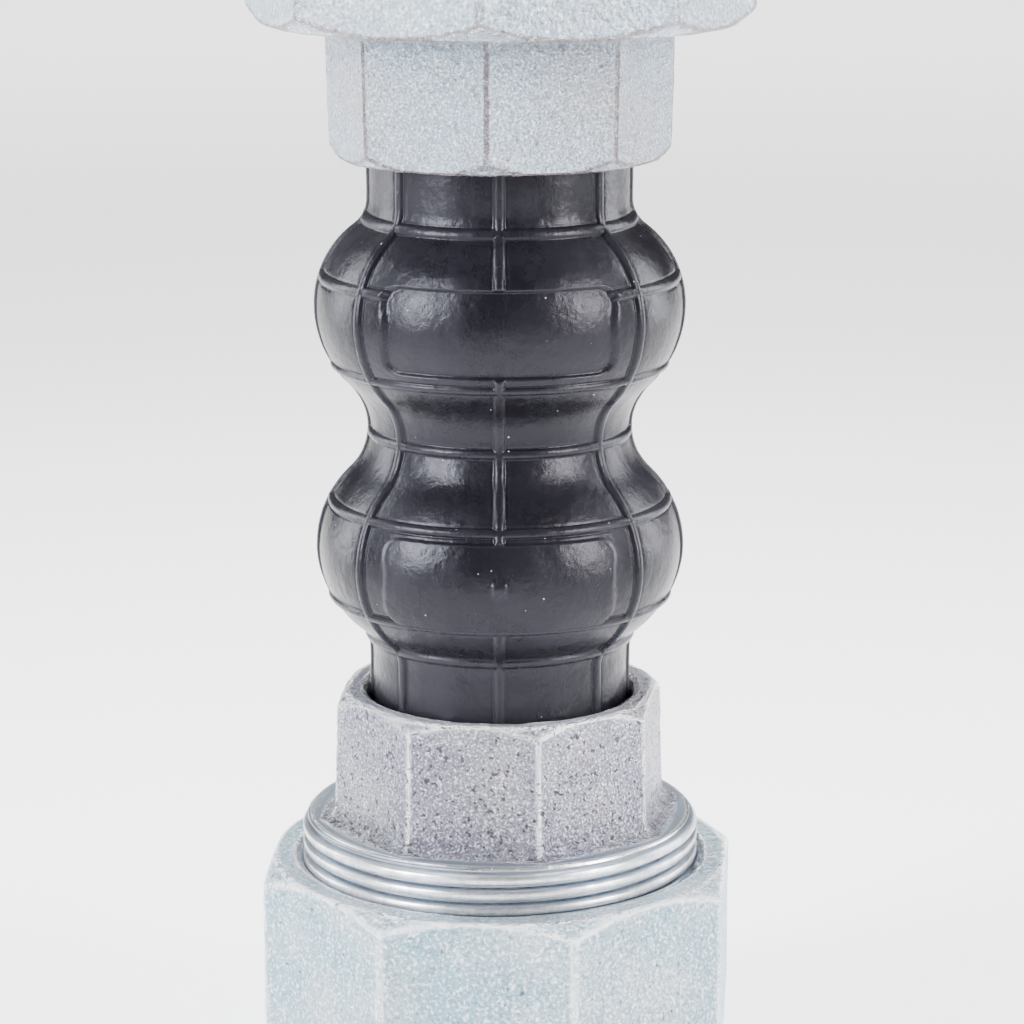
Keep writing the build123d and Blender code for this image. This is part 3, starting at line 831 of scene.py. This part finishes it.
def plyMaterial():
    # parallel cords at a slant, skimmed with rubber
    material, tree, shader = newMaterial("plyCord", Roughness=0.7)
    link = tree.links.new
    place = placeOn(tree)
    parts = node(tree, "ShaderNodeSeparateXYZ", -1000)
    link(place, parts.inputs[0])
    around = calc(tree, "ARCTAN2", parts.outputs[1], parts.outputs[0])
    wound = calc(tree, "ADD", calc(tree, "MULTIPLY", around, 22.0),
                 calc(tree, "MULTIPLY", parts.outputs[2], 3600.0))
    wave = calc(tree, "ADD", calc(tree, "MULTIPLY", calc(tree, "SINE", wound), 0.5), 0.5)
    link(mixColour(tree, wave, (0.03, 0.028, 0.026), (0.22, 0.19, 0.15)), shader.inputs["Base Color"])
    link(bumpFrom(tree, wave, 0.0003), shader.inputs["Normal"])
    return material


# moulded lines of the cover: height above the plain surface, in millimetres
reliefSize = dict(ribAngles=(-90, -41.5, 0, 42, 90, 138, 180, 221.5), ribWidth=1.55, ribHeight=0.5,
                  ringOuts=(-31.3, -25.0, -10.7, -0.5, 9.7, 22.7, 31.2), ringWidth=1.35, ringHeight=0.48,
                  ringSlopes={-25.0: 0.85, -10.7: 0.85, 9.7: 0.8}, panelHalf=16.4, panelCorner=2.6,
                  upperPanel=(11.5, 24.1), lowerPanel=(-24.7, -12.2), panelSink=0.6, panelRise=0.42,
                  panelEdge=0.34, bossR=1.1, bossHeight=0.35, ribEndOut=46.0)


def ridge(distance, width):
    # a rounded bead, with a small dip along each side
    across = 2 * np.abs(distance) / width
    bead = np.sqrt(np.clip(1 - across**2, 0, 1))
    return bead - 0.16 * np.exp(-((across - 1.25) / 0.25) ** 2)


def panelMask(across, height, low, high):
    # 1 inside a rounded rectangle on the front, falling to 0 over its edge
    s = reliefSize
    middle, halfHigh = (low + high) / 2, (high - low) / 2
    dx = np.abs(across) - (s["panelHalf"] - s["panelCorner"])
    dz = np.abs(height - middle) - (halfHigh - s["panelCorner"])
    outside = np.hypot(np.maximum(dx, 0), np.maximum(dz, 0)) + np.minimum(np.maximum(dx, dz), 0)
    return smoothStep((s["panelCorner"] - outside) / s["panelEdge"] + 0.5)


def overlay(a, b):                              # the higher of two beads, keeping any dip
    return np.where(np.maximum(a, b) > 0, np.maximum(a, b), np.minimum(a, b))


def coverRelief(angles, r, out):
    # angles is an array round the body; r and out are one row of it
    s = reliefSize
    total = np.zeros_like(angles)
    front = (angles + pi / 2 + pi) % turn - pi
    across = r * np.sin(np.clip(front, -pi / 2, pi / 2)) + np.where(np.abs(front) > pi / 2, farOut, 0)
    upper = panelMask(across, out, *s["upperPanel"])
    lower = panelMask(across, out, *s["lowerPanel"])
    for ribAngle in s["ribAngles"]:
        off = (angles - radians(ribAngle) + pi) % turn - pi
        rib = s["ribHeight"] * ridge(off * r, s["ribWidth"])
        if ribAngle == -90:
            rib = rib * (1 - upper) * (1 - lower)
        total = overlay(total, rib * smoothStep((s["ribEndOut"] - abs(out)) / 2))
    for ringOut in s["ringOuts"]:
        ring = s["ringHeight"] * ridge((out - ringOut) / s["ringSlopes"].get(ringOut, 1.0), s["ringWidth"])
        total = overlay(total, ring)
    total = total * (1 - upper) * (1 - lower) - s["panelSink"] * upper + s["panelRise"] * lower
    boss = np.hypot(across, out + bodySize["crestOut"])
    return total + s["bossHeight"] * smoothStep((s["bossR"] - boss) / 0.5 + 0.5) * (boss < 3)


def buildCover():
    b = bodySize
    fine = [p for p in halfOutline(0.04) if p[1] <= b["hiddenOut"]]
    rings = sorted({abs(out) for out in reliefSize["ringOuts"]} | {11.8, 24.2})
    hidden = [(b["neckR"], z, 1.0, 0.0) for z in stepsBetween(b["hiddenOut"], b["coneOut"], 2.4)]
    outline = bothHalves(crowdedRows(fine, rings, 185) + hidden)
    segments = 448
    crowd = [a % 360 for a in reliefSize["ribAngles"]]
    angles = crowdedAngles(crowd, segments)
    rows = []
    for r, z, nr, nz in outline:
        lift = coverRelief(angles, r, z)
        rows.append((r + nr * lift, z + nz * lift))
    depth = b["coverDepth"]
    ply = turnedOut(depth, b["plyEdgeR"])
    faceOut = b["turnOut"] + b["turnR"] - (b["neckR"] - b["tubeDepth"])
    endUp = [(b["neckR"], b["coneOut"]), (b["beadR"] - b["beadCorner"], b["shoulderOut"]),
             (b["beadR"], b["shoulderOut"] + b["beadCorner"]), (b["beadR"], faceOut),
             (b["plyEdgeR"], faceOut)]
    inside = [(r - depth * nr, z - depth * nz) for r, z, nr, nz in bothHalves(halfOutline(2.2))]
    upperEnd = endUp + list(reversed(ply))
    lowerEnd = [(r, -z) for r, z in reversed(upperEnd)]
    rows = rows + upperEnd + list(reversed(inside)) + lowerEnd
    bm = spinRows(rows, segments, crowd)
    weights = [1.0 if i < len(outline) else 0.0 for i in range(len(rows))]
    edge = bm.verts.layers.float.new("edge")
    for vert, value in zip(bm.verts, edgeValues(bm)):
        vert[edge] = value
    wrinkle(bm, 0.045, weights, 3.4, 3.0)
    makeLayer(bm, "cover", rubberMaterial(), "outer_cover")


buildCover()
print("cover built")

layerSizes = {
    "plyOuter": dict(depths=(bodySize["coverDepth"], 3.35), edgeR=bodySize["plyEdgeR"],
                     node="cord_ply_outer", slot="ply_cord"),
    "plyInner": dict(depths=(3.45, bodySize["tubeDepth"]), edgeR=bodySize["plyEdgeR"],
                     node="cord_ply_inner", slot="ply_cord"),
    "tube": dict(depths=(bodySize["tubeDepth"], 6.45), edgeR=bodySize["beadR"],
                 node="inner_tube", slot="tube_rubber"),
}


def buildInnerLayers():
    finishes = {"ply_cord": plyMaterial(), "tube_rubber": tubeMaterial()}
    for name, layer in layerSizes.items():
        outer, inner = (layerSide(depth, layer["edgeR"], 1.0) for depth in layer["depths"])
        bm = spinRows(outer + list(reversed(inner)), 128)
        makeLayer(bm, name, finishes[layer["slot"]], layer["node"])


buildInnerLayers()
print("inner layers built")


def hoopMaterial():
    material, tree, shader = newMaterial("hoopWire", Metallic=1.0)
    link = tree.links.new
    place = node(tree, "ShaderNodeTexCoord", -1100).outputs["Object"]
    drawn = setInputs(node(tree, "ShaderNodeTexNoise", -700), Scale=1200.0, Detail=3.0)
    link(place, drawn.inputs["Vector"])
    bronze = mixColour(tree, drawn.outputs[0], (0.50, 0.36, 0.22), (0.68, 0.55, 0.40))
    link(bronze, shader.inputs["Base Color"])
    link(calc(tree, "ADD", 0.25, calc(tree, "MULTIPLY", drawn.outputs[0], 0.2)), shader.inputs["Roughness"])
    return material


def tapeMaterial():
    material, tree, shader = newMaterial("wrapTape", Roughness=0.85)
    link = tree.links.new
    place = node(tree, "ShaderNodeTexCoord", -1100).outputs["Object"]
    weave = setInputs(node(tree, "ShaderNodeTexChecker", -700), Scale=3000.0)
    link(place, weave.inputs["Vector"])
    cloth = mixColour(tree, weave.outputs["Fac"], (0.16, 0.14, 0.11), (0.26, 0.23, 0.18))
    link(cloth, shader.inputs["Base Color"])
    link(bumpFrom(tree, weave.outputs["Fac"], 0.00008), shader.inputs["Normal"])
    return material


def setMaterial(nodeName, material):
    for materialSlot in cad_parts[nodeName].material_slots:
        materialSlot.material = material


hoopFinish, tapeFinish = hoopMaterial(), tapeMaterial()
for nodeName in ("waist_hoop", "lower_bead_hoop", "upper_bead_hoop"):
    setMaterial(nodeName, hoopFinish)

wrapSize = dict(hoopR=20.8, hoopOut=66.95, wireR=1.45, tapeR=1.66, lap=0.14, laps=36)


def buildWrap(end):
    s = wrapSize
    side = ends[end]["side"]
    bm = bmesh.new()
    inner = bm.verts.layers.int.new("inner")
    upright = Matrix.Translation((s["hoopR"], 0, 0)) @ Matrix.Rotation(pi / 2, 4, "X")
    bmesh.ops.create_circle(bm, segments=20, radius=s["tapeR"], cap_ends=False, matrix=upright)
    bore = bmesh.ops.create_circle(bm, segments=20, radius=s["wireR"], cap_ends=False, matrix=upright)
    for vert in bore["verts"]:
        vert[inner] = 1
    spinRound(bm, 288)
    for vert in bm.verts:
        if vert[inner]:
            continue
        r = hypot(vert.co.x, vert.co.y)
        around, over = atan2(vert.co.y, vert.co.x), atan2(vert.co.z, r - s["hoopR"])
        lap = (s["laps"] * around + over) / turn % 1          # each lap of tape steps over the one before
        radius = s["tapeR"] + s["lap"] * lap
        newR = s["hoopR"] + radius * cos(over)
        vert.co = (newR * cos(around), newR * sin(around), radius * sin(over))
    bmesh.ops.recalc_face_normals(bm, faces=bm.faces[:])
    makePiece(bm, f"{end}BeadWrap", tapeFinish, [f"{end}_bead_wrap"],
              waistZ + side * s["hoopOut"] * mm, 1, f"{end}_ring")


for end in ends:
    buildWrap(end)
print("hoops and wraps built")

white = (1.0, 1.0, 1.0)
stageLook = dict(floor=(0.92, 0.92, 0.925), world=(0.93, 0.96, 1.0), worldStrength=0.10,
                 backdropStrength=0.85)
lights = {                                      # place, size, watts, colour and spread in degrees
    "overhead": dict(place=(0.0, 0.35, 1.3), size=(0.9, 0.9), power=14.0, colour=white, spread=80),
    "keyLeft": dict(place=(-0.80, -0.55, 0.46), size=(0.35, 0.7), power=4.5, colour=(0.95, 0.98, 1.0),
                    spread=60),
    "keyRight": dict(place=(0.85, -0.50, 0.42), size=(0.3, 0.7), power=3.2, colour=(1.0, 0.97, 0.95),
                     spread=60),
    "backFloor": dict(place=(0.0, 2.0, 1.1), size=(3.0, 2.4), power=75.0, colour=white, spread=120,
                      aim=(0, 2.0, 0)),
    "leftFloor": dict(place=(-2.3, 0.0, 1.1), size=(2.4, 3.0), power=42.0, colour=white, spread=110,
                      aim=(-2.3, 0, 0)),
    "rightFloor": dict(place=(2.3, 0.0, 1.1), size=(2.4, 3.0), power=42.0, colour=white, spread=110,
                       aim=(2.3, 0, 0)),
    "frontFloor": dict(place=(0.0, -2.4, 1.1), size=(3.0, 2.4), power=32.0, colour=white, spread=110,
                       aim=(0, -2.4, 0)),
    "rimLeft": dict(place=(-0.7, 0.30, 0.25), size=(0.25, 0.8), power=2.5, colour=(0.93, 0.96, 1.0),
                    spread=90),
    "rimRight": dict(place=(0.7, 0.30, 0.25), size=(0.25, 0.8), power=2.5, colour=(0.95, 0.96, 1.0),
                     spread=90),
}
cameraLook = dict(lens=120.6, pitch=13.0, distance=0.510, aimBelowWaist=13.2 * mm, aside=1.8 * mm)


def buildFloor():
    bm = bmesh.new()
    bmesh.ops.create_grid(bm, x_segments=2, y_segments=2, size=6.0)
    mesh = bpy.data.meshes.new("floor")
    bm.to_mesh(mesh)
    bm.free()
    floor = bpy.data.objects.new("floor", mesh)
    bpy.context.scene.collection.objects.link(floor)
    material, tree, shader = newMaterial("paleFloor", Roughness=0.8)
    shader.inputs["Base Color"].default_value = (*stageLook["floor"], 1)
    mesh.materials.append(material)


def buildLights():
    for name, look in lights.items():
        aim = Vector(look.get("aim", (0, 0, waistZ)))
        data = bpy.data.lights.new(name, "AREA")
        data.shape = "RECTANGLE"
        data.size, data.size_y = look["size"]
        data.energy = look["power"]
        data.color = look["colour"]
        data.spread = radians(look["spread"])
        lamp = bpy.data.objects.new(name, data)
        lamp.location = look["place"]
        lamp.rotation_euler = (aim - lamp.location).to_track_quat("-Z", "Y").to_euler()
        bpy.context.scene.collection.objects.link(lamp)
    world = bpy.data.worlds.new("softWorld")
    world.use_nodes = True
    tree = world.node_tree
    background = tree.nodes["Background"]
    background.inputs["Color"].default_value = (*stageLook["world"], 1)
    background.inputs["Strength"].default_value = stageLook["worldStrength"]
    backdrop = setInputs(node(tree, "ShaderNodeBackground", 0, -200), Strength=stageLook["backdropStrength"])
    backdrop.inputs["Color"].default_value = (*stageLook["world"], 1)
    choose = node(tree, "ShaderNodeMixShader", 200)
    rays = node(tree, "ShaderNodeLightPath", -200, 200)
    tree.links.new(rays.outputs["Is Camera Ray"], choose.inputs[0])
    tree.links.new(background.outputs[0], choose.inputs[1])
    tree.links.new(backdrop.outputs[0], choose.inputs[2])
    tree.links.new(choose.outputs[0], tree.nodes["World Output"].inputs["Surface"])
    bpy.context.scene.world = world


def buildCamera():
    look = cameraLook
    data = bpy.data.cameras.new("camera")
    data.sensor_width = 36.0
    data.lens = look["lens"]
    camera = bpy.data.objects.new("camera", data)
    pitchDown = radians(look["pitch"])
    aim = Vector((look["aside"], 0, waistZ - look["aimBelowWaist"]))
    camera.location = aim + Vector((0, -cos(pitchDown), sin(pitchDown))) * look["distance"]
    camera.rotation_euler = (aim - camera.location).to_track_quat("-Z", "Y").to_euler()
    bpy.context.scene.collection.objects.link(camera)
    bpy.context.scene.camera = camera


buildFloor()
buildLights()
buildCamera()
print("stage, lights and camera set")
